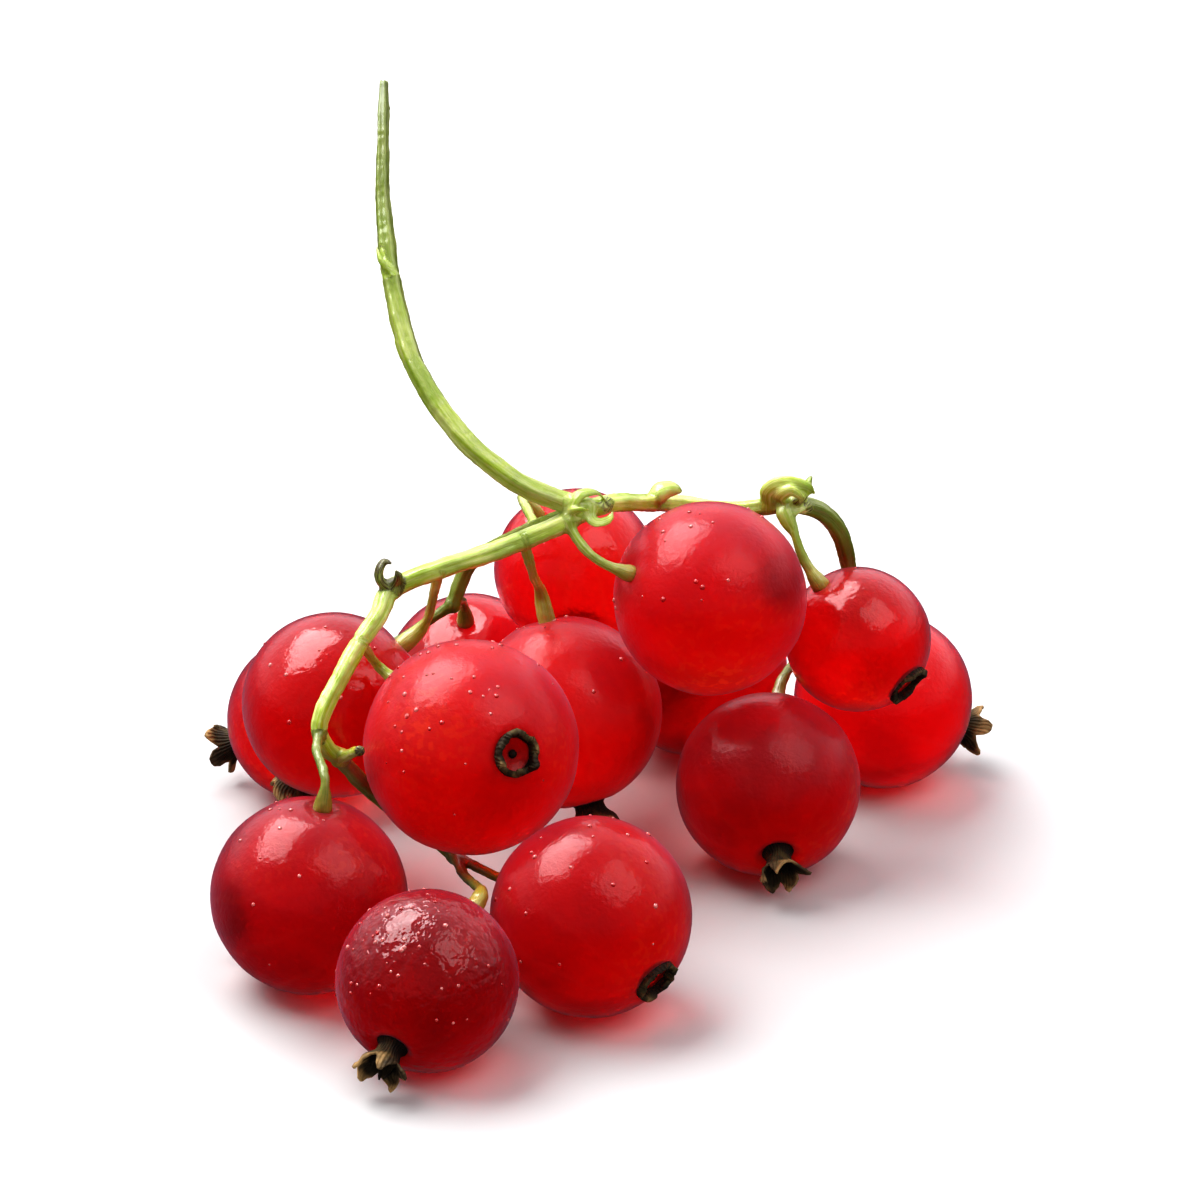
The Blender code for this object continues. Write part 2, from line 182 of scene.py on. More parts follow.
def wrap_skin_map(shell):
    """A UV map that runs round the berry in u and up to the flower in v.

    A corner at a pole has no turn of its own, so it takes that of its face.
    """
    layer = shell.loops.layers.uv.new("skin")
    for face in shell.faces:
        middle = face.calc_center_median()
        middle_turn = math.atan2(middle.y, middle.x)
        for corner in face.loops:
            place = corner.vert.co
            off_pole = Vector(place.xy).length > POLE_REACH
            turn = math.atan2(place.y, place.x) if off_pole else middle_turn
            turn += math.tau * round((middle_turn - turn) / math.tau)
            fall = math.acos(max(-1.0, min(1.0, place.z / place.length)))
            corner[layer].uv = (turn / math.tau + 0.5, 1.0 - fall / math.pi)


def to_object(shell, name, smooth=True):
    """Turns a bmesh into an object of the scene, at the origin."""
    mesh = bpy.data.meshes.new(name)
    for face in shell.faces:
        face.smooth = smooth
    shell.to_mesh(mesh)
    shell.free()
    piece = bpy.data.objects.new(name, mesh)
    bpy.context.scene.collection.objects.link(piece)
    return piece


# %% [markdown]
# ## Dew
# The berries have been rinsed, and small drops still sit on their upper sides. A drop is a low dome, so
# each one is a tiny ball, made flatter and sunk into the skin by half. They are scattered by a seeded
# draw about one way, up and to the front left, and each has only twenty faces, because two hundred are
# drawn. Those that would fall on the flower's dent or on the underside are left out.

# %% Dew
DEW_SEED = 700
DEW_SIZES = (0.06, 0.17)
DEW_FLATNESS = 0.6
DEW_COUNTS = {"01": 26, "03": 48, "04": 16, "05": 10, "06": 14, "07": 26, "11": 60}
DEW_MIDDLE = Vector((-0.35, -0.45, 0.80))
DEW_SPREAD = 0.75
DEW_LOWEST = -0.5
FLOWER_EDGE = 0.94


def add_dew(shell, number, radius, turn):
    """Scatters a berry's drops over its shell, which still stands upright at the origin."""
    chance = random.Random(DEW_SEED + int(number))
    middle = turn.inverted() @ DEW_MIDDLE
    for _ in range(DEW_COUNTS.get(number, 0)):
        way = middle + Vector([chance.gauss(0.0, DEW_SPREAD) for _ in range(3)])
        way.normalize()
        size = chance.uniform(*DEW_SIZES)
        if way.z > FLOWER_EDGE or (turn @ way).z < DEW_LOWEST:
            continue
        drop = bmesh.ops.create_icosphere(shell, subdivisions=1, radius=size * MM)["verts"]
        stand = Matrix.Translation(way * radius * MM) @ way.to_track_quat("Z", "Y").to_matrix().to_4x4()
        flat = Matrix.Diagonal((1.0, 1.0, DEW_FLATNESS, 1.0))
        bmesh.ops.transform(shell, matrix=stand @ flat, verts=drop)
        for face in {face for vertex in drop for face in vertex.link_faces}:
            face.material_index = 1


print("drops drawn:", sum(DEW_COUNTS.values()))


# %% [markdown]
# ## Each berry
# No berry is a perfect ball, so smooth noise moves the skin a little, and shallow ridges follow the
# veins. Three values are written on every vertex for the material: `tone`, `height`, which says how far
# up the berry a point is and so where the pink of bloom and painted sheen lies, and `glow`, which is high
# where the light leaves some of the berries, for an orange patch of painted glow.

# %% Make a berry
STEM_DENT_DEPTH = 0.32
STEM_DENT_WIDTH = 0.8
UNEVENNESS = 0.012
LUMP_SCALE = 1.3
LUMP_STEPS = (7.3, 3.1, 5.7)
VEINS = 11
VEIN_RELIEF = 0.012
GLOW_WAYS = {"03": Vector((-0.38, -0.70, 0.59)), "01": Vector((0.10, -0.75, -0.60)),
             "02": Vector((0.0, -0.80, -0.55))}
GLOW_SPREAD = 0.42


def facing_turn(facing):
    """The turn that brings a piece's own +Z to the way it faces."""
    return Vector(facing).to_track_quat("Z", "Y")


def make_berry(number, berry):
    """One berry, in place: spun, dented at the stem, a little uneven, and flat where it lies down."""
    radius = berry["radius"]
    centre = berry_centre(berry)
    turn = facing_turn(berry["facing"])
    stem_way = turn.inverted() @ Vector(berry["stem"]).normalized()
    shell = spin_outline(berry_outline(radius), BERRY_TURNS)
    add_dew(shell, number, radius, turn)
    wrap_skin_map(shell)
    seed = Vector([int(number) * step for step in LUMP_STEPS])
    tone = shell.verts.layers.float.new("tone")
    glow = shell.verts.layers.float.new("glow")
    height = shell.verts.layers.float.new("height")
    for vertex in shell.verts:
        vertex[tone] = berry["tone"]
        way = vertex.co.normalized()
        vertex[height] = (turn @ way).z
        if number in GLOW_WAYS:
            vertex[glow] = math.exp(-((turn @ way).angle(GLOW_WAYS[number]) / GLOW_SPREAD) ** 2)
        off_stem = way.angle(stem_way, 0.0) * radius
        sink = STEM_DENT_DEPTH * math.exp(-(off_stem / STEM_DENT_WIDTH) ** 2)
        lump = UNEVENNESS * radius * noise.noise(way * LUMP_SCALE + seed)
        around = math.atan2(way.y, way.x)
        ridge = VEIN_RELIEF * math.cos(VEINS * around) * math.hypot(way.x, way.y) ** 2
        vertex.co += way * (lump + ridge - sink) * MM
        vertex.co = centre + turn @ vertex.co
        vertex.co.z = max(vertex.co.z, 0.0)
    piece = to_object(shell, "currant_" + number)
    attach(piece, "root")
    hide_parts("berry_" + number)
    return piece


# %% [markdown]
# ## The berries' skin
# The skin is thin and clear, and the flesh behind it is cloudy and deep red. Light goes in at the top, is
# coloured on its way through, and leaves low down, so a berry glows. The material is a mix of rough,
# tinted glass, which passes light on, and soft scattering, which returns some of it, under a clear coat
# for the skin. The skin has a fine grain that breaks up its highlights. Faint veins run from pole to
# pole, and the flesh has brighter patches. Where the light leaves three of the berries, an orange glow is
# painted into the flesh, and faint patches of it lie at random on all of them. A pink lies on the upper
# side, more on the satin berries: it is partly their waxy bloom and partly a painted sheen of the light
# from above. A sheen turns their rims lilac. The wet berry has a coarser grain, which breaks its shine
# into flecks.

# %% Material helpers
def new_material(name):
    """A material, its node tree and its shader."""
    material = bpy.data.materials.new(name)
    material.use_nodes = True
    return material, material.node_tree, material.node_tree.nodes["Principled BSDF"]


def set_plain(node, **values):
    """Sets a node's own sockets, named with _ for a space."""
    for name, value in values.items():
        node.inputs[name.replace("_", " ")].default_value = value


def add_node(tree, kind, **settings):
    """A node of a kind, with its settings."""
    node = tree.nodes.new(kind)
    for name, value in settings.items():
        setattr(node, name, value)
    return node


def mix_colour(tree, share, first, second):
    """A mix of two colours. share, first and second are sockets or plain values."""
    node = add_node(tree, "ShaderNodeMix", data_type="RGBA")
    for socket, value in zip((node.inputs[0], node.inputs[6], node.inputs[7]), (share, first, second)):
        if isinstance(value, bpy.types.NodeSocket):
            tree.links.new(value, socket)
        else:
            socket.default_value = value if socket is node.inputs[0] else (*value, 1.0)
    return node.outputs[2]


def calculate(tree, operation, first, second=0.0, third=0.0):
    """A sum or another operation on sockets or plain values."""
    node = add_node(tree, "ShaderNodeMath", operation=operation)
    for socket, value in zip(node.inputs, (first, second, third)):
        if isinstance(value, bpy.types.NodeSocket):
            tree.links.new(value, socket)
        else:
            socket.default_value = value
    return node.outputs[0]


def spread(tree, value, low, high, out_low=0.0, out_high=1.0):
    """Stretches a value from one range to another and holds it at the ends."""
    node = add_node(tree, "ShaderNodeMapRange")
    tree.links.new(value, node.inputs[0])
    for socket, number in zip(node.inputs[1:5], (low, high, out_low, out_high)):
        socket.default_value = number
    return node.outputs[0]


def noise_at(tree, place, scale, detail=2.0):
    """Smooth noise at a place. Where places are in metres, a scale of 1000 has a lump about each mm.

    Noise stays near 0.5, so `spread` reads it by a narrow range about that.
    """
    node = add_node(tree, "ShaderNodeTexNoise")
    tree.links.new(place, node.inputs["Vector"])
    set_plain(node, Scale=scale, Detail=detail)
    return node.outputs["Fac"]


def bump_from(tree, height, depth, strength=1.0):
    """A bent normal from a height, as deep as `depth` in metres."""
    bump = add_node(tree, "ShaderNodeBump")
    set_plain(bump, Strength=strength, Distance=depth)
    tree.links.new(height, bump.inputs["Height"])
    return bump.outputs[0]


# %% Berry colours
CRIMSON = (0.40, 0.0015, 0.007)
DEEP_RED = (0.60, 0.002, 0.006)
BRIGHT_RED = (0.86, 0.004, 0.004)
# The orange is a painted glow, for light that leaves the flesh.
PAINTED_GLOW_ORANGE = (1.0, 0.085, 0.012)
VEIN_PINK = (0.98, 0.08, 0.06)
END_BROWN = (0.16, 0.02, 0.012)
# This pink is partly the berries' bloom and partly a painted sheen of the light from above.
SHEEN_AND_BLOOM_PINK = (0.52, 0.11, 0.16)
SKIN_TINT = (0.5, 0.08, 0.08, 1.0)
RIM_LILAC = (0.95, 0.42, 0.62, 1.0)
# A drop's pink stands in for the berry seen through it, and its white flecks are painted glints.
DEW_PAINTED_BERRY_PINK = (0.70, 0.04, 0.04)
DEW_PAINTED_GLINT = (1.0, 0.42, 0.38)

# clear: the share of light that passes on; flesh and coat: how rough the flesh and the skin over it are;
# shine: how strong the skin's coat is; grain: the scale and the depth, in metres, of its fine bumps; the
# last value: how strong the pink on the upper side is, partly bloom and partly painted sheen.
SKIN_KINDS = {
    "gloss": dict(clear=0.76, flesh=0.28, coat=0.10, shine=0.9, grain=(3600.0, 0.00003), sheen_and_bloom=0.12),
    "soft_gloss": dict(clear=0.76, flesh=0.28, coat=0.12, shine=0.6, grain=(3600.0, 0.00003), sheen_and_bloom=0.20),
    "satin": dict(clear=0.64, flesh=0.36, coat=0.19, shine=0.5, grain=(3600.0, 0.000035), sheen_and_bloom=0.40),
    "wet": dict(clear=0.76, flesh=0.36, coat=0.06, shine=1.0, grain=(1900.0, 0.00012), sheen_and_bloom=0.06),
}
print("kinds of skin:", ", ".join(SKIN_KINDS))

# %% Berry material
PATCH_SCALE = 200.0
PATCH_WEIGHT = 0.5
TONE_WEIGHT = 0.6
SAC_SCALE = 2200.0
SAC_CONTRAST = 0.6
STRAY_SCALE = 170.0
STRAY_GLOW = 0.3
WANDER_SCALE = 500.0
WANDER = 0.25
VEIN_WIDTH = 0.12
VEIN_SHARE = 0.08
SHEEN_AND_BLOOM_THINNING = 0.7
FLOWER_END = (0.91, 0.95)
END_SHARE = 0.6
FLESH_DEPTH = 0.006


def berry_material(kind):
    """The skin and flesh of one kind of berry."""
    skin = SKIN_KINDS[kind]
    material, tree, shader = new_material("currant_" + kind)
    place = add_node(tree, "ShaderNodeTexCoord").outputs["Object"]
    tone = add_node(tree, "ShaderNodeAttribute", attribute_name="tone").outputs["Fac"]
    skin_map = add_node(tree, "ShaderNodeUVMap", uv_map="skin").outputs[0]
    split = add_node(tree, "ShaderNodeSeparateXYZ")
    tree.links.new(skin_map, split.inputs[0])
    u, v = split.outputs[0], split.outputs[1]

    # Bright patches in the flesh, by the berry's own tone.
    patches = spread(tree, noise_at(tree, place, PATCH_SCALE), 0.35, 0.65)
    brightness = calculate(tree, "MULTIPLY", tone, TONE_WEIGHT)
    ripe = calculate(tree, "MULTIPLY_ADD", patches, PATCH_WEIGHT, brightness)
    colour = mix_colour(tree, spread(tree, ripe, 0.05, 0.5), CRIMSON, DEEP_RED)
    colour = mix_colour(tree, spread(tree, ripe, 0.4, 1.0), colour, BRIGHT_RED)

    # Where light leaves, an orange painted glow lies over the flesh and shows its juice sacs, and faint
    # stray patches of it lie at random.
    sacs = spread(tree, noise_at(tree, place, SAC_SCALE, 1.0), 0.52, 0.62)
    glow = add_node(tree, "ShaderNodeAttribute", attribute_name="glow").outputs["Fac"]
    stray_painted_glow = spread(tree, noise_at(tree, place, STRAY_SCALE, 1.0), 0.56, 0.70, 0.0, STRAY_GLOW)
    where = calculate(tree, "MAXIMUM", glow, stray_painted_glow)
    painted_glow = calculate(tree, "MULTIPLY_ADD", sacs, SAC_CONTRAST, 1.0 - SAC_CONTRAST)
    painted_glow = calculate(tree, "MULTIPLY", painted_glow, where)
    colour = mix_colour(tree, painted_glow, colour, PAINTED_GLOW_ORANGE)

    # Veins from pole to pole, which wander a little and fade before the poles.
    wander = spread(tree, noise_at(tree, place, WANDER_SCALE), 0.0, 1.0, -WANDER, WANDER)
    turns = calculate(tree, "MULTIPLY_ADD", u, float(VEINS), wander)
    line = calculate(tree, "PINGPONG", turns, 0.5)
    vein = spread(tree, line, 0.0, VEIN_WIDTH, 1.0, 0.0)
    poles = spread(tree, calculate(tree, "PINGPONG", v, 0.5), 0.04, 0.3)
    vein = calculate(tree, "MULTIPLY", vein, poles)
    vein = calculate(tree, "MULTIPLY", vein, VEIN_SHARE)
    colour = mix_colour(tree, vein, colour, VEIN_PINK)

    # A pink lies on the upper side, partly bloom and partly a painted sheen of the light from above, and it
    # is thinner over the bright patches.
    height = add_node(tree, "ShaderNodeAttribute", attribute_name="height").outputs["Fac"]
    sheen_and_bloom = spread(tree, height, 0.05, 0.85, 0.0, skin["sheen_and_bloom"])
    thinning = spread(tree, patches, 0.0, 1.0, 1.0, SHEEN_AND_BLOOM_THINNING)
    sheen_and_bloom = calculate(tree, "MULTIPLY", sheen_and_bloom, thinning)
    colour = mix_colour(tree, sheen_and_bloom, colour, SHEEN_AND_BLOOM_PINK)

    # The skin is brown round the dried flower.
    end = calculate(tree, "MULTIPLY", spread(tree, v, *FLOWER_END), END_SHARE)
    colour = mix_colour(tree, end, colour, END_BROWN)
    tree.links.new(colour, shader.inputs["Base Color"])

    grain_scale, grain_depth = skin["grain"]
    grain = bump_from(tree, noise_at(tree, place, grain_scale), grain_depth)
    tree.links.new(grain, shader.inputs["Normal"])
    tree.links.new(grain, shader.inputs["Coat Normal"])
    set_plain(shader, Roughness=skin["flesh"], IOR=1.25, Transmission_Weight=skin["clear"],
              Specular_Tint=SKIN_TINT, Coat_Weight=skin["shine"], Coat_Roughness=skin["coat"],
              Coat_IOR=1.42, Subsurface_Weight=1.0, Subsurface_Scale=FLESH_DEPTH,
              Subsurface_Radius=(1.0, 0.08, 0.05), Sheen_Weight=0.22, Sheen_Roughness=0.42,
              Sheen_Tint=RIM_LILAC)
    return material


# %% Dew material, and make every berry
GLINT_FLECK_SCALE = 900.0


def dew_material():
    """Clear water, painted pink for the berry seen through it, with white flecks of painted glint."""
    material, tree, shader = new_material("dew")
    place = add_node(tree, "ShaderNodeTexCoord").outputs["Object"]
    painted_glint_flecks = spread(tree, noise_at(tree, place, GLINT_FLECK_SCALE, 1.0), 0.4, 0.6)
    colour = mix_colour(tree, painted_glint_flecks, DEW_PAINTED_BERRY_PINK, DEW_PAINTED_GLINT)
    tree.links.new(colour, shader.inputs["Base Color"])
    set_plain(shader, Roughness=0.04, IOR=1.33, Transmission_Weight=0.55,
              Coat_Weight=1.0, Coat_Roughness=0.03)
    return material


berry_materials = {kind: berry_material(kind) for kind in SKIN_KINDS}
dew = dew_material()
for number, berry in BERRIES.items():
    piece = make_berry(number, berry)
    piece.data.materials.append(berry_materials[berry["skin"]])
    if number in DEW_COUNTS:
        piece.data.materials.append(dew)
print("berries made:", len(BERRIES))


# %% [markdown]
# ## Tubes along a route
# Stems, bracts and the threads in a dried flower are all tapered tubes on a bent route. A curve object
# with a bevel could do it, but a ring that is extruded step by step can be flat, oval or ridged, and it
# can swell where it wants.

# %% Route helpers
def smooth_route(points, step, easings=0):
    """Places about `step` apart on a smooth curve through the points, each with its share of the way.

    Each easing draws every place half way to the middle of its neighbours, which rounds a tight bend.
    """
    points = [Vector(p) for p in points]
    padded = [2 * points[0] - points[1]] + points + [2 * points[-1] - points[-2]]
    places = [points[0]]
    for a, b, c, d in zip(padded, padded[1:], padded[2:], padded[3:]):
        parts = max(2, round((c - b).length / step))
        for part in range(1, parts + 1):
            t = part / parts
            places.append(0.5 * (2 * b + (c - a) * t + (2 * a - 5 * b + 4 * c - d) * t ** 2
                                 + (3 * b - a - 3 * c + d) * t ** 3))
    for _ in range(easings):
        middles = [0.25 * (a + 2 * b + c) for a, b, c in zip(places, places[1:], places[2:])]
        places = [places[0]] + middles + [places[-1]]
    lengths = [0.0]
    for first, second in zip(places, places[1:]):
        lengths.append(lengths[-1] + (second - first).length)
    return places, [length / lengths[-1] for length in lengths]


def between(table, share):
    """Reads a value off a table of (share, value) rows, with straight lines between the rows."""
    for (low, first), (high, second) in zip(table, table[1:]):
        if share <= high:
            return first + (second - first) * max(0.0, share - low) / (high - low)
    return table[-1][1]


def route_frames(places):
    """At each place, the turn that takes Z along the route, carried on without a twist."""
    ways = [(b - a).normalized() for a, b in zip(places, places[1:])]
    ways = [ways[0]] + [(a + b).normalized() for a, b in zip(ways, ways[1:])] + [ways[-1]]
    side = Vector((0.0, 0.0, 1.0)).cross(ways[0]).normalized()
    turns = []
    for way in ways:
        side = (side - way * side.dot(way)).normalized()
        turns.append(Matrix((side, way.cross(side), way)).transposed().to_quaternion())
    return turns


# %% Lay a tube
def lay_tube(shell, points, table, sides, flatness=1.0, step=0.3, easings=0):
    """Extrudes a ring along a route, in mm. The table gives its half width; flatness makes it oval."""
    places, shares = smooth_route(points, step, easings)
    turns = route_frames(places)
    before = set(shell.faces)
    verts = bmesh.ops.create_circle(shell, segments=sides, radius=1.0)["verts"]
    loop = list(dict.fromkeys(edge for vertex in verts for edge in vertex.link_edges))
    ends = [loop]
    last = Matrix()
    for index, (place, share, turn) in enumerate(zip(places, shares, turns)):
        width = between(table, share)
        here = Matrix.LocRotScale(place, turn, Vector((width, width * flatness, width)))
        if index > 0:
            made = bmesh.ops.extrude_edge_only(shell, edges=loop)["geom"]
            verts = [part for part in made if isinstance(part, bmesh.types.BMVert)]
            loop = [part for part in made if isinstance(part, bmesh.types.BMEdge)]
        bmesh.ops.transform(shell, matrix=here @ last.inverted(), verts=verts)
        last = here
    ends.append(loop)
    for end in ends:
        bmesh.ops.contextual_create(shell, geom=end)
    bmesh.ops.recalc_face_normals(shell, faces=[face for face in shell.faces if face not in before])
    return places, shares, turns


# %% [markdown]
# ## The dried flowers
# The flower stays on the berry as a small brown tuft: a short tube whose five sepals have withered and
# curled, with threads inside. The tube is a ring that is extruded upwards in rows. Its sepals are drawn
# out by a formula, because five hand-cut petals would look too clean. Then the wall gets its thickness.
# Three berries have lost their sepals, and only an open collar is left there, with the red of the berry
# and a dark scar inside.

# %% The outline of a flower's wall
# Rows of (share of the way up, (distance from the axis, height)).
TUFT_WALL = [(0.0, (0.86, -0.05)), (0.08, (0.84, 0.10)), (0.22, (0.62, 0.42)), (0.40, (0.68, 0.80)),
             (0.52, (0.88, 1.05)), (0.75, (1.20, 1.45)), (1.0, (1.36, 1.95))]
COLLAR_WALL = [(0.0, (1.12, -0.05)), (0.3, (1.16, 0.20)), (0.6, (1.18, 0.45)), (1.0, (1.28, 0.66))]


def wall_point(table, share):
    """Distance from the axis and height of the flower's wall, in mm, at a share of the way up."""
    for (low, first), (high, second) in zip(table, table[1:]):
        if share <= high:
            part = (share - low) / (high - low)
            return tuple(a + (b - a) * part for a, b in zip(first, second))
    return table[-1][1]


FULL_LENGTH = TUFT_WALL[-1][1][1]
print("a full tuft is", FULL_LENGTH, "mm long")

# %% Grow the wall
FLOWER_COLUMNS = 45
FLOWER_ROWS = 14
SEPALS = 5
BLUNTNESS = 1.8
CURL_REACH = 0.55
CURL_DROP = 0.5
CUPPING = 0.16
NARROWING = 0.35

# Each row is the scale of a noise, its depth at the foot, and how much more it has at the tip.
CRUMPLES = [(1.7, 0.05, 0.16), (5.0, 0.02, 0.05)]

# noise_vector takes its offsets from the clock unless it is given a seed, and the flowers would change.
CRUMPLE_SEED = 5
noise.seed_set(CRUMPLE_SEED)


def extrude_rows(shell, layer):
    """A ring extruded row by row, with each vertex's turn and share of the way up in the layer."""
    loop = bmesh.ops.create_circle(shell, segments=FLOWER_COLUMNS, radius=1.0)["verts"]
    edges = list(dict.fromkeys(edge for vertex in loop for edge in vertex.link_edges))
    for vertex in loop:
        vertex[layer] = (math.atan2(vertex.co.y, vertex.co.x), 0.0, 0.0)
    for row in range(1, FLOWER_ROWS + 1):
        made = bmesh.ops.extrude_edge_only(shell, edges=edges)["geom"]
        edges = [part for part in made if isinstance(part, bmesh.types.BMEdge)]
        for vertex in (part for part in made if isinstance(part, bmesh.types.BMVert)):
            vertex[layer] = (math.atan2(vertex.co.y, vertex.co.x), row / FLOWER_ROWS, 0.0)


def grow_wall(shell, table, sepals, depth, seed):
    """The flower's wall. sepals has (length, curl, lean) for each; depth is how far they are cut apart.

    The lower half of the rows is the tube. The upper half is free, and each sepal has its own reach.
    """
    layer = shell.verts.layers.float_vector.new("wall")
    extrude_rows(shell, layer)
    for vertex in shell.verts:
        around, share, _ = vertex[layer]
        sepal = round(around / math.tau * SEPALS)
        off = around / math.tau * SEPALS - sepal
        length, curl, lean = sepals[sepal % SEPALS]
        reach = 1.0 - depth * (1.0 - length * (1.0 - (2 * abs(off)) ** BLUNTNESS))
        seat = 0.5 * min(1.0, share * 2) + max(0.0, share - 0.5) * reach
        free = max(0.0, seat - 0.5) * 2
        across, height = wall_point(table, seat)
        across += curl * CURL_REACH * free ** 2 - CUPPING * free * (1 - 2 * abs(off))
        height -= max(curl, 0.0) * CURL_DROP * free ** 2
        around += lean * free - off * NARROWING * free
        place = Vector((across * math.cos(around), across * math.sin(around), height))
        moved = place.copy()
        for scale, foot, more in CRUMPLES:
            moved += noise.noise_vector(place * scale + seed) * (foot + more * free)
        vertex.co = moved


print("vertices in a flower's wall:", FLOWER_COLUMNS * (FLOWER_ROWS + 1))

# %% Threads and scars
THREADS = 6
THREAD_TABLE = [(0, 0.09), (0.8, 0.06), (0.9, 0.12), (1, 0.05)]
CUSHION_ROUTE = [(0, 0, 0.25), (0, 0, 0.42), (0, 0, 0.5)]
CUSHION_TABLE = [(0, 0.72), (0.6, 0.6), (1, 0.2)]
SCAR_ROUTE = [(0, 0, -0.15), (0.02, 0.0, 0.02), (0.04, 0.02, 0.14)]
SCAR_TABLE = [(0, 0.26), (0.6, 0.2), (1, 0.04)]


def lay_scar(shell):
    """The dark point that is left in an open collar."""
    lay_tube(shell, SCAR_ROUTE, SCAR_TABLE, 10, step=0.1)


def lay_threads(shell, chance):
    """A cushion in the tuft, and threads that stand on it. The first thread is near the middle."""
    lay_tube(shell, CUSHION_ROUTE, CUSHION_TABLE, 16, step=0.1)
    for thread in range(THREADS):
        turn = math.tau * (thread + chance.uniform(-0.3, 0.3)) / THREADS
        out = Vector((math.cos(turn), math.sin(turn), 0.0)) * (0.12 if thread == 0 else 0.4)
        top = out * chance.uniform(0.8, 1.9) + Vector((0, 0, chance.uniform(1.0, 1.75)))
        bend = Vector((chance.uniform(-0.3, 0.3), chance.uniform(-0.3, 0.3), 0.9))
        route = [out + Vector((0, 0, 0.4)), out + bend, top]
        lay_tube(shell, route, THREAD_TABLE, 6, flatness=0.7, step=0.2)


# %% Make a flower
FLOWER_SEED = 40
TUFT_THICKNESS = 0.13
TUFT_CUT = 0.92
COLLAR_THICKNESS = 0.30
COLLAR_CUT = 0.5
COLLAR_HEIGHTS = {"02": 0.8}
OLD_SHARE = 0.55


def flower_shell(bare, chance):
    """A dried flower that stands on the origin: an open collar if it is bare, else a tuft."""
    seed = Vector((chance.uniform(0, 50), chance.uniform(0, 50), chance.uniform(0, 50)))
    shell = bmesh.new()
    if bare:
        sepals = [(chance.uniform(0.75, 1.0), chance.uniform(-0.1, 0.1), 0.0) for _ in range(SEPALS)]
        grow_wall(shell, COLLAR_WALL, sepals, COLLAR_CUT, seed)
    else:
        sepals = [(chance.uniform(0.7, 1.1), chance.uniform(-0.7, 0.9), chance.uniform(-0.35, 0.35))
                  for _ in range(SEPALS)]
        grow_wall(shell, TUFT_WALL, sepals, TUFT_CUT, seed)
    bmesh.ops.recalc_face_normals(shell, faces=shell.faces)
    thickness = COLLAR_THICKNESS if bare else TUFT_THICKNESS
    bmesh.ops.solidify(shell, geom=list(shell.faces), thickness=thickness)
    if bare:
        lay_scar(shell)
        wall = shell.verts.layers.float_vector["wall"]
        for vertex in shell.verts:
            vertex[wall].y *= OLD_SHARE
    else:
        lay_threads(shell, chance)
    return shell


def make_flower(number, berry):
    """One dried flower, in place on its berry and stretched to its length."""
    chance = random.Random(FLOWER_SEED + int(number))
    bare = berry["flower"] < 1.0
    shell = flower_shell(bare, chance)
    stretch = (berry["flower"] + DENT_DEPTH) / FULL_LENGTH
    if bare:
        stretch = COLLAR_HEIGHTS.get(number, 1.0)
    stand = Matrix.Translation(Vector((0, 0, berry["radius"] - DENT_DEPTH)))
    stand @= Matrix.Diagonal((1.0, 1.0, stretch, 1.0))
    turned = facing_turn(berry["facing"]).to_matrix().to_4x4()
    turned @= Matrix.Rotation(chance.uniform(0, 1.2), 4, "Z")
    seat = Matrix.Translation(berry_centre(berry)) @ Matrix.Diagonal((MM, MM, MM, 1.0))
    bmesh.ops.transform(shell, matrix=seat @ turned @ stand, verts=shell.verts)
    piece = to_object(shell, "flower_" + number)
    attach(piece, "root")
    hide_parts("calyx_" + number)
    return piece


# %% [markdown]
# ## The flowers' finish
# A withered sepal is tan at its thin tip, olive below, and nearly black-brown at its foot and in patches
# at random, with fine veins along it. The attribute `wall` says how far up a point is, so the colour
# follows the sepal however it has curled. A bare collar has smaller shares, so it stays dark.

# %% Flower material, and make every flower
FOOT_BROWN = (0.022, 0.014, 0.008)
OLIVE_BROWN = (0.085, 0.062, 0.022)
DRY_TAN = (0.40, 0.26, 0.11)
FLOWER_VEINS = 30.0
ROUGH_SCALE = 1400.0
DARK_PATCH_SCALE = 700.0
DARK_PATCH_SHARE = 0.75
RIB_SHARE = 0.3
WRINKLE_DEPTH = 0.00008


def flower_material():
    """Withered brown, by the share of the way up the wall."""
    material, tree, shader = new_material("dried_flower")
    place = add_node(tree, "ShaderNodeTexCoord").outputs["Object"]
    wall = add_node(tree, "ShaderNodeAttribute", attribute_name="wall")
    split = add_node(tree, "ShaderNodeSeparateXYZ")
    tree.links.new(wall.outputs["Vector"], split.inputs[0])
    around, share = split.outputs[0], split.outputs[1]
    ribs = calculate(tree, "SINE", calculate(tree, "MULTIPLY", around, FLOWER_VEINS))
    rough = noise_at(tree, place, ROUGH_SCALE, 4.0)
    dark_patches = spread(tree, noise_at(tree, place, DARK_PATCH_SCALE), 0.58, 0.42, 0.0, DARK_PATCH_SHARE)
    rise = calculate(tree, "ADD", spread(tree, rough, 0.3, 0.7, -0.25, 0.25), share)
    colour = mix_colour(tree, spread(tree, rise, 0.15, 0.55), FOOT_BROWN, OLIVE_BROWN)
    colour = mix_colour(tree, spread(tree, rise, 0.6, 1.05), colour, DRY_TAN)
    colour = mix_colour(tree, dark_patches, colour, FOOT_BROWN)
    tree.links.new(colour, shader.inputs["Base Color"])
    height = calculate(tree, "MULTIPLY_ADD", ribs, RIB_SHARE, rough)
    tree.links.new(bump_from(tree, height, WRINKLE_DEPTH, 0.8), shader.inputs["Normal"])
    set_plain(shader, Roughness=0.72, Specular_IOR_Level=0.35)
    return material


dry = flower_material()
for number, berry in BERRIES.items():
    make_flower(number, berry).data.materials.append(dry)
print("flowers made:", len(BERRIES))


# %% [markdown]
# ## The green stem
# One stalk hangs the whole bunch. It forks into arms, and each berry has a thin side stem of its own that
# widens where it meets the berry. Small pointed bracts sit at the forks. All of it is one growing thing,
# so the tubes are laid over each other and then melted into one skin with a voxel remesh, which rounds
# each fork as growth does. One bare twig has lost its berry.

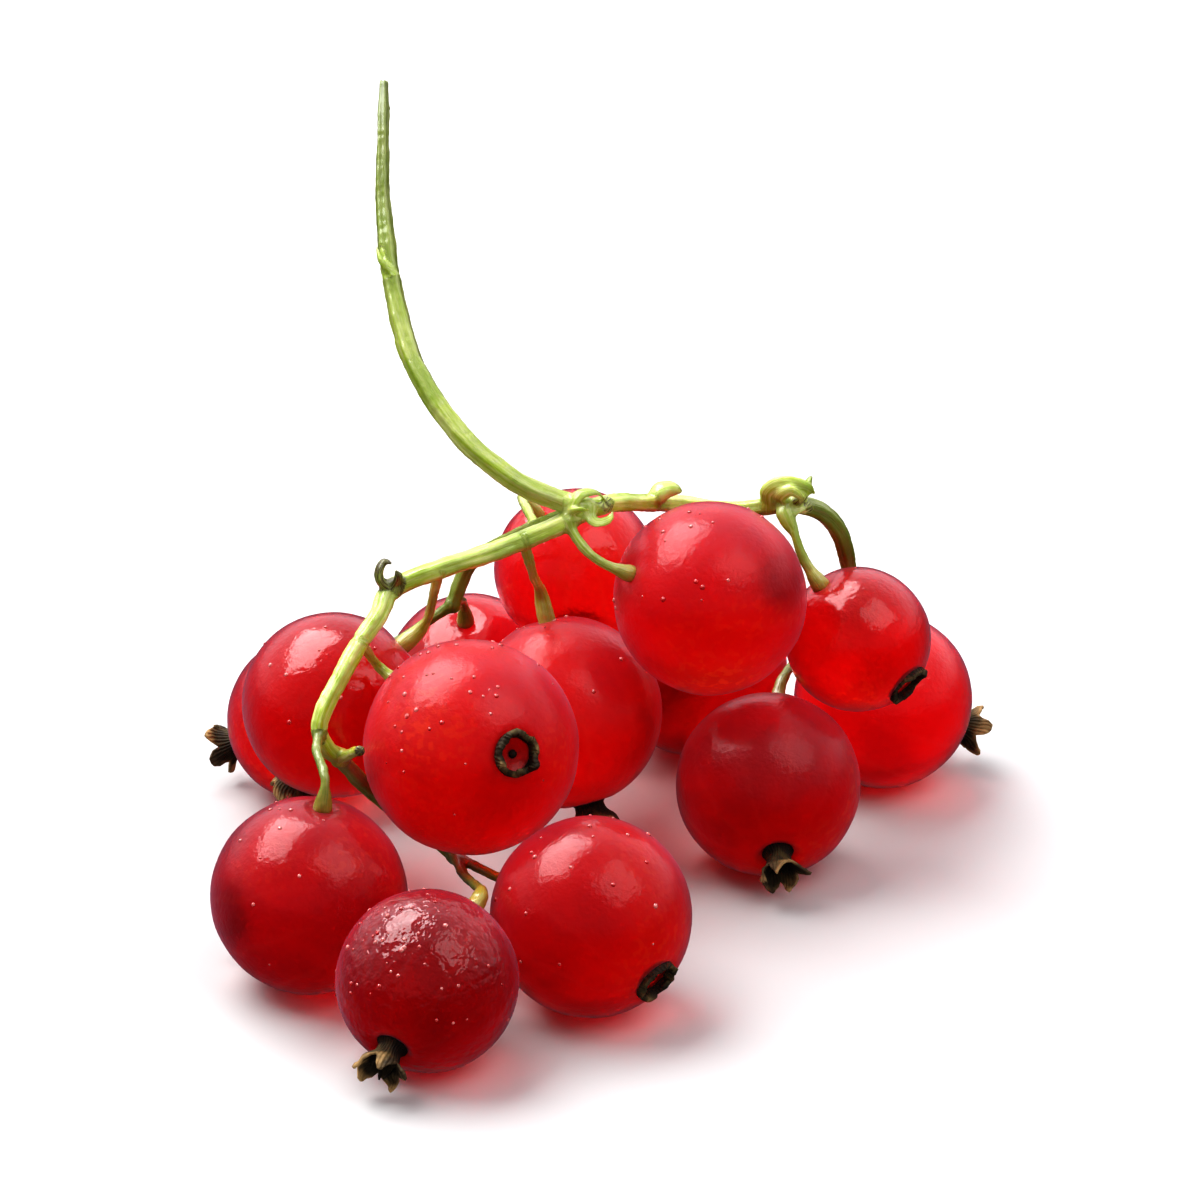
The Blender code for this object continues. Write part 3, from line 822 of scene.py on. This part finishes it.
# %% Knots and arms
# A knot is a place and a thickness. An arm is its route, of places and knots, and its half width by the
# share of the way along.
KNOTS = {"K0": (0.2, 6.6, 19.6), "K1": (-9.4, 2.3, 17.2), "K2": (-12.0, -2.0, 9.9), "K3": (10.5, 12.1, 17.4),
         "K4": (-6.3, -1.5, 4.2), "K5": (-6.6, 14.6, 10.6), "K6": (13.3, 16.0, 9.8)}
KNOT_RADII = {"K0": 0.66, "K1": 0.58, "K2": 0.54, "K3": 0.58, "K4": 0.46, "K5": 0.46, "K6": 0.46}
ARMS = {
    "stalk": ([(-10.1, 23.4, 36.0), (-10.1, 20.9, 34.0), (-10.1, 18.5, 31.6), (-9.7, 15.6, 28.9),
               (-8.8, 12.4, 26.1), (-7.7, 10.4, 24.5), (-6.2, 8.6, 23.0), (-4.6, 7.3, 21.9),
               (-2.6, 6.5, 20.8), "K0"],
              [(0, 0.24), (0.05, 0.29), (0.24, 0.37), (0.31, 0.47), (0.37, 0.46), (0.5, 0.52), (1, 0.55)]),
    "left": (["K0", (-1.0, 5.9, 19.1), (-2.9, 5.3, 18.5), (-5.0, 4.3, 18.1), (-7.1, 3.3, 17.8), "K1",
              (-10.1, 1.1, 16.3), (-11.0, 0.1, 15.3), (-12.0, -1.2, 13.9), (-12.8, -2.3, 12.7),
              (-13.0, -2.7, 11.7), (-12.6, -2.6, 10.7), "K2", (-11.2, -0.3, 8.0), (-10.0, 0.5, 6.3),
              (-8.8, 0.7, 5.2), (-7.4, -0.1, 4.5), "K4"],
             [(0, 0.50), (0.33, 0.50), (0.6, 0.44), (0.7, 0.42), (1, 0.34)]),
    "right": (["K0", (1.4, 7.5, 19.5), (2.8, 9.4, 18.7), (4.9, 12.8, 17.1), (7.5, 12.5, 16.9), "K3"],
              [(0, 0.50), (0.3, 0.45), (1, 0.42)]),
    "right_low": (["K3", (12.0, 12.5, 16.9), (13.0, 12.9, 15.8), (13.5, 13.5, 14.2), (13.7, 14.7, 12.1),
                   "K6"],
                  [(0, 0.46), (0.3, 0.46), (1, 0.38)]),
    "back": (["K0", (-2.3, 11.0, 16.6), (-4.2, 13.4, 14.5), (-5.7, 14.8, 12.8), "K5"],
             [(0, 0.42), (1, 0.38)]),
}
print("knots:", len(KNOTS), "arms:", ", ".join(ARMS))

# %% Bracts and the bare twig
# A bract is its route, half width, flatness, and whether it has withered.
BRACT_SHAPE = [(0, 0.8), (0.35, 1.0), (0.7, 0.75), (0.9, 0.4), (1, 0.2)]
BRACTS = [
    (["K0", (-0.4, 6.1, 20.1), (0.0, 6.3, 20.6), (0.8, 6.7, 20.5), (1.3, 6.9, 19.9)], 0.40, 0.45, False),
    (["K0", (0.7, 5.7, 19.3), (1.4, 6.1, 19.3), (1.6, 6.6, 19.6)], 0.38, 0.45, False),
    (["K0", (-0.4, 5.9, 19.8), (0.0, 5.5, 20.1), (0.5, 5.6, 20.0)], 0.34, 0.45, False),
    (["K1", (-10.0, 2.1, 17.7), (-10.1, 2.2, 18.2), (-9.8, 2.4, 18.7), (-9.4, 2.2, 18.6)], 0.50, 0.5, True),
    (["K1", (-9.1, 1.9, 18.0), (-9.3, 1.8, 18.5)], 0.38, 0.5, True),
    ([(9.5, 12.1, 17.3), (9.5, 11.9, 18.2), (10.3, 11.8, 18.7), (11.3, 11.7, 18.6), (11.9, 12.0, 18.0)],
     0.48, 0.5, False),
    (["K3", (10.1, 11.6, 18.0), (10.6, 11.3, 18.5), (11.1, 11.3, 18.2), (11.2, 11.4, 17.8)],
     0.38, 0.45, False),
    (["K3", (11.2, 12.0, 17.9), (11.5, 12.2, 18.5), (11.7, 12.3, 18.9)], 0.70, 0.45, False),
    (["K3", (10.9, 11.6, 17.2), (11.5, 11.7, 17.4)], 0.36, 0.5, False),
    (["K3", (10.3, 11.5, 17.3), (10.6, 11.1, 16.7), (11.0, 10.9, 16.0)], 0.50, 0.6, False),
    ([(3.6, 10.9, 18.0), (4.0, 10.9, 18.6), (4.6, 11.1, 18.7), (5.1, 11.4, 18.4)], 0.72, 0.7, False),
    ([(-9.6, 15.3, 28.6), (-10.1, 15.2, 29.4), (-10.4, 15.9, 30.1)], 0.36, 0.45, False),
]
TWIG_ROUTE = ["K2", (-11.3, -3.6, 11.0), (-10.9, -5.1, 11.8)]
TWIG_TABLE = [(0, 0.32), (0.8, 0.25), (1, 0.30)]


def spell_out(points):
    """Swaps the names of knots for their places, as vectors in mm."""
    return [Vector(KNOTS[point] if isinstance(point, str) else point) for point in points]


print("bracts:", len(BRACTS))

# %% Lay every tube
PEDICEL_TABLE = [(0, 0.36), (0.12, 0.28), (0.5, 0.25), (0.74, 0.27), (0.85, 0.40), (0.93, 0.48), (1, 0.46)]
PEDICEL_EASINGS = 12
NECK_LENGTH = 1.5
STEM_SINK = 0.40
STEM_SIDES = 16


def pedicel_route(berry):
    """From the fork, down the side stem, and a little way into the dent in the berry."""
    way = Vector(berry["stem"]).normalized()
    centre = listed_centre(berry)
    neck = centre + way * (berry["radius"] + NECK_LENGTH)
    foot = centre + way * (berry["radius"] - STEM_SINK)
    return spell_out(berry["pedicel"]) + [neck, neck.lerp(foot, 0.5), foot]


def lay_stem(shell):
    """All the tubes and knots in one bmesh. Returns samples: (place, turn, mm along, kind, share)."""
    samples = []

    def lay(points, table, kind, **shape):
        places, shares, turns = lay_tube(shell, points, table, STEM_SIDES, **shape)
        run = 0.0
        for index, (place, share, turn) in enumerate(zip(places, shares, turns)):
            run += (place - places[index - 1]).length if index else 0.0
            samples.append((place, turn, run, kind, share))

    for name, (points, table) in ARMS.items():
        lay(spell_out(points), table, name)
    for points, width, flatness, withered in BRACTS:
        table = [(share, width * part) for share, part in BRACT_SHAPE]
        kind = "withered" if withered else "bract"
        lay(spell_out(points), table, kind, flatness=flatness, step=0.2)
    lay(spell_out(TWIG_ROUTE), TWIG_TABLE, "twig", step=0.2)
    for berry in BERRIES.values():
        kind = "low_pedicel" if berry["centre"][2] is LYING else "pedicel"
        lay(pedicel_route(berry), PEDICEL_TABLE, kind, easings=PEDICEL_EASINGS)
    for name, place in KNOTS.items():
        ball = bmesh.ops.create_uvsphere(shell, u_segments=16, v_segments=10, radius=KNOT_RADII[name])
        bmesh.ops.translate(shell, vec=place, verts=ball["verts"])
    return samples


# %% Melt the tubes into one skin
VOXEL = 0.09
SMOOTHINGS = 5


def melt(shell, name):
    """A voxel remesh of everything in the bmesh, smoothed, as a new bmesh in mm."""
    rough = to_object(shell, name)
    remesh = rough.modifiers.new("melt", "REMESH")
    remesh.mode = "VOXEL"
    remesh.voxel_size = VOXEL
    whole = rough.evaluated_get(bpy.context.evaluated_depsgraph_get()).to_mesh()
    skin = bmesh.new()
    skin.from_mesh(whole)
    old = rough.data
    bpy.data.objects.remove(rough)
    bpy.data.meshes.remove(old)
    for _ in range(SMOOTHINGS):
        bmesh.ops.smooth_vert(skin, verts=skin.verts, factor=0.5, use_axis_x=True, use_axis_y=True,
                              use_axis_z=True)
    return skin


# %% The stem's shades
# How olive each kind of tube is, as one share, or by the share of the way along. On the stalk, the side
# stems and the withered bracts the olive is their age. On the arm that lies low at the right, the side
# stems of the berries that lie down, the back arm and the low end of the left arm it is painted shade.
OLIVE_AGE_AND_SHADE = {"right_low": 0.9, "pedicel": 0.2, "low_pedicel": 0.9, "back": 0.8, "withered": 0.4}
OLIVE_AGE_AND_SHADE_TABLES = {
    "stalk": [(0.0, 1.0), (0.5, 0.48), (0.93, 0.42), (1.0, 0.0)],
    "left": [(0.0, 0.0), (0.62, 0.0), (0.8, 0.9), (1.0, 1.0)],
}
END_START = 0.6


def shade(kind, share):
    """How far a point is on its way to the end's yellow, to olive (age, and painted shade on low arms), and
    to dry brown.
    """
    end = max(0.0, share - END_START) / (1 - END_START) if "pedicel" in kind else 0.0
    old = OLIVE_AGE_AND_SHADE.get(kind, 0.0)
    if kind in OLIVE_AGE_AND_SHADE_TABLES:
        old = between(OLIVE_AGE_AND_SHADE_TABLES[kind], share)
    dry = {"bract": share ** 3 * 0.8, "withered": 0.75 + 0.25 * share, "twig": share ** 4}.get(kind, 0.0)
    return end, old, dry


print("shade half way up the stalk:", shade("stalk", 0.5))

# %% Grow the stem
RIBS = 5
RIB_HEIGHT = 0.035
RIB_TWIST = 0.12
RIBBED = tuple(ARMS)
KINDS = RIBBED + ("bract", "withered", "twig", "pedicel", "low_pedicel")
GRAIN_LENGTH = 0.16
GRAIN_GAP = 9.0

# Each row is the scale of a noise and its depth in mm.
STEM_LUMPS = [(0.9, 0.05), (3.0, 0.025)]


def grow_stem():
    """The whole stem, in place, with its ribs, and with `grain` and `tone` for the material."""
    shell = bmesh.new()
    samples = lay_stem(shell)
    skin = melt(shell, "stem_tubes")
    nearest = KDTree(len(samples))
    for index, sample in enumerate(samples):
        nearest.insert(sample[0], index)
    nearest.balance()
    grain = skin.verts.layers.float_vector.new("grain")
    tone = skin.verts.layers.float_vector.new("tone")
    skin.normal_update()
    for vertex in skin.verts:
        place, turn, run, kind, share = samples[nearest.find(vertex.co)[1]]
        local = turn.inverted() @ (vertex.co - place)
        around = math.atan2(local.y, local.x)
        along = (run + local.z) * GRAIN_LENGTH + KINDS.index(kind) * GRAIN_GAP
        vertex[grain] = (math.cos(around), math.sin(around), along)
        vertex[tone] = shade(kind, share)
        rib = RIB_HEIGHT * math.cos(RIBS * around + run * RIB_TWIST) if kind in RIBBED else 0.0
        lump = sum(depth * noise.noise(vertex.co * scale) for scale, depth in STEM_LUMPS)
        vertex.co += vertex.normal * (rib + lump)
    bmesh.ops.scale(skin, vec=(MM, MM, MM), verts=skin.verts)
    bmesh.ops.translate(skin, vec=SHIFT, verts=skin.verts)
    print("stem triangles:", sum(len(face.verts) - 2 for face in skin.faces))
    piece = to_object(skin, "green_stem")
    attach(piece, "root")
    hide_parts("strig")
    return piece


# %% [markdown]
# ## The stem's finish
# Fresh stems are yellow-green, with paler streaks along them. They turn olive towards the old end of the
# stalk, yellow-brown where a berry hangs on, and brown at the dry tips of the bracts, and the arms that lie
# low are darkened to the same olive as painted shade. The attribute `grain` holds the place round and
# along each tube, so the streaks follow every bend. A little light passes through, as in any stalk.

# %% Stem material, and make the stem
STEM_DEEP = (0.18, 0.29, 0.006)
STEM_GREEN = (0.36, 0.48, 0.028)
STEM_PALE = (0.62, 0.68, 0.26)
# Olive is the old stalk's colour, and it is also painted shade on the arms that lie low.
OLD_OLIVE_AND_SHADE = (0.085, 0.115, 0.008)
END_YELLOW = (0.40, 0.29, 0.06)
DRY_BROWN = (0.045, 0.022, 0.008)
STREAK_SCALE = 2.6
FINE_SCALE = 9.0
STEM_PATCH_SCALE = 420.0
DEEP_SHARE = 0.55
OLD_SHADE = 0.85
YELLOW_SHARE = 0.85
STREAK_DEPTH = 0.00006
STEM_DEPTH = 0.0006


def stem_material():
    """Yellow-green with streaks, turned by `tone` to yellow, to olive, which is painted shade on the low
    arms, and to dry brown.
    """
    material, tree, shader = new_material("green_stem")
    place = add_node(tree, "ShaderNodeTexCoord").outputs["Object"]
    grain = add_node(tree, "ShaderNodeAttribute", attribute_name="grain").outputs["Vector"]
    tone = add_node(tree, "ShaderNodeAttribute", attribute_name="tone").outputs["Vector"]
    split = add_node(tree, "ShaderNodeSeparateXYZ")
    tree.links.new(tone, split.inputs[0])
    end, old, dry = split.outputs
    streaks = noise_at(tree, grain, STREAK_SCALE, 4.0)
    fine = noise_at(tree, grain, FINE_SCALE, 3.0)
    patches = spread(tree, noise_at(tree, place, STEM_PATCH_SCALE), 0.58, 0.38, 0.0, DEEP_SHARE)
    colour = mix_colour(tree, spread(tree, streaks, 0.35, 0.65), STEM_GREEN, STEM_PALE)
    colour = mix_colour(tree, patches, colour, STEM_DEEP)
    # The olive is age on the stalk and painted shade on the arms that lie low.
    old = calculate(tree, "MULTIPLY", old, OLD_SHADE)
    colour = mix_colour(tree, old, colour, OLD_OLIVE_AND_SHADE)
    speckle = spread(tree, fine, 0.3, 0.7, -0.3, 0.3)
    ending = spread(tree, calculate(tree, "ADD", speckle, end), 0.15, 1.0, 0.0, YELLOW_SHARE)
    colour = mix_colour(tree, ending, colour, END_YELLOW)
    withered = calculate(tree, "ADD", speckle, dry)
    colour = mix_colour(tree, spread(tree, withered, 0.55, 1.0), colour, DRY_BROWN)
    tree.links.new(colour, shader.inputs["Base Color"])
    height = calculate(tree, "ADD", streaks, fine)
    tree.links.new(bump_from(tree, height, STREAK_DEPTH, 0.7), shader.inputs["Normal"])
    set_plain(shader, Roughness=0.38, IOR=1.4, Subsurface_Weight=0.45, Subsurface_Scale=STEM_DEPTH,
              Subsurface_Radius=(0.8, 1.0, 0.2), Coat_Weight=0.9, Coat_Roughness=0.20)
    return material


grow_stem().data.materials.append(stem_material())


# %% [markdown]
# ## Table, lights and camera
# The bunch lies on a plain pale table. A wide soft lamp hangs high at the back left, and a much dimmer
# one at the front right, as the bright and the faint patches on the berries show. The back wall is
# bright, and the front of the room and what lies below it are dim, so a berry glows and its red stays
# deep. The white table is kept out of the reflections, because it would lay a grey veil over the
# undersides. The camera looks down by 25 degrees from half a metre away, and the contrast is a little
# higher than usual, as in the bright picture of the fruit.

# %% Table
TABLE_GREY = (0.47, 0.47, 0.465, 1.0)
TABLE_SIZE = 3.0


def make_table():
    """A plain sheet that the bunch lies on. It is part of the stage, not of the model."""
    shell = bmesh.new()
    bmesh.ops.create_grid(shell, x_segments=1, y_segments=1, size=TABLE_SIZE)
    table = to_object(shell, "table", smooth=False)
    material, tree, shader = new_material("table_white")
    set_plain(shader, Base_Color=TABLE_GREY, Roughness=0.7, Specular_IOR_Level=0.2)
    table.data.materials.append(material)
    table.visible_glossy = False
    return table


print("table:", make_table().name)

# %% Lamps
# A lamp is its place and size in metres, and how bright its face looks.
LAMPS = {
    "key": ((-0.38, 0.25, 0.72), (0.84, 0.56), 6.9),
    "fill": ((0.41, -0.24, 0.70), (0.60, 0.60), 2.0),
}
LIT_POINT = Vector((0.0, 0.0, 0.01))


def area_light(name, place, size, radiance):
    """A soft lamp that faces the bunch. Its power follows from how bright its face looks."""
    data = bpy.data.lights.new(name, "AREA")
    data.shape = "RECTANGLE"
    data.size, data.size_y = size
    data.energy = radiance * size[0] * size[1] * math.pi
    lamp = bpy.data.objects.new(name, data)
    lamp.location = place
    lamp.rotation_mode = "QUATERNION"
    lamp.rotation_quaternion = (LIT_POINT - Vector(place)).to_track_quat("-Z", "Y")
    lamp.visible_camera = False
    bpy.context.scene.collection.objects.link(lamp)


for name, (place, size, radiance) in LAMPS.items():
    area_light(name, place, size, radiance)
print("lamps:", ", ".join(LAMPS))

# %% The room
# Each gives where the light starts to change and where it stops, and how bright it is at both.
BACK_WALL = (-0.6, 0.6, 0.3, 1.1)
CEILING = (-0.05, 0.25, 0.04, 1.0)
ROOM_TINT = (1.0, 0.93, 0.99, 1.0)

world = bpy.data.worlds.new("room")
world.use_nodes = True
room = world.node_tree
direction = add_node(room, "ShaderNodeSeparateXYZ")
room.links.new(add_node(room, "ShaderNodeTexCoord").outputs["Generated"], direction.inputs[0])
back_wall = spread(room, direction.outputs[1], *BACK_WALL)
above = spread(room, direction.outputs[2], *CEILING)
room_light = calculate(room, "MULTIPLY", back_wall, above)
room.links.new(room_light, room.nodes["Background"].inputs["Strength"])
set_plain(room.nodes["Background"], Color=ROOM_TINT)
bpy.context.scene.world = world
print("room:", world.name)

# %% Camera
PITCH = math.radians(25)
CAMERA_DISTANCE = 0.5
LENS = 300.0
LOOK_AT = Vector((0.0, 0.0, 0.0165))

camera_data = bpy.data.cameras.new("camera")
camera_data.lens = LENS
camera = bpy.data.objects.new("camera", camera_data)
back = Vector((0.0, -math.cos(PITCH), math.sin(PITCH)))
camera.location = LOOK_AT + back * CAMERA_DISTANCE
camera.rotation_mode = "QUATERNION"
camera.rotation_quaternion = (-back).to_track_quat("-Z", "Y")
bpy.context.scene.collection.objects.link(camera)
bpy.context.scene.camera = camera
bpy.context.scene.view_settings.view_transform = "Standard"
bpy.context.scene.view_settings.look = "High Contrast"
print("camera in metres:", [round(c, 3) for c in camera.location])
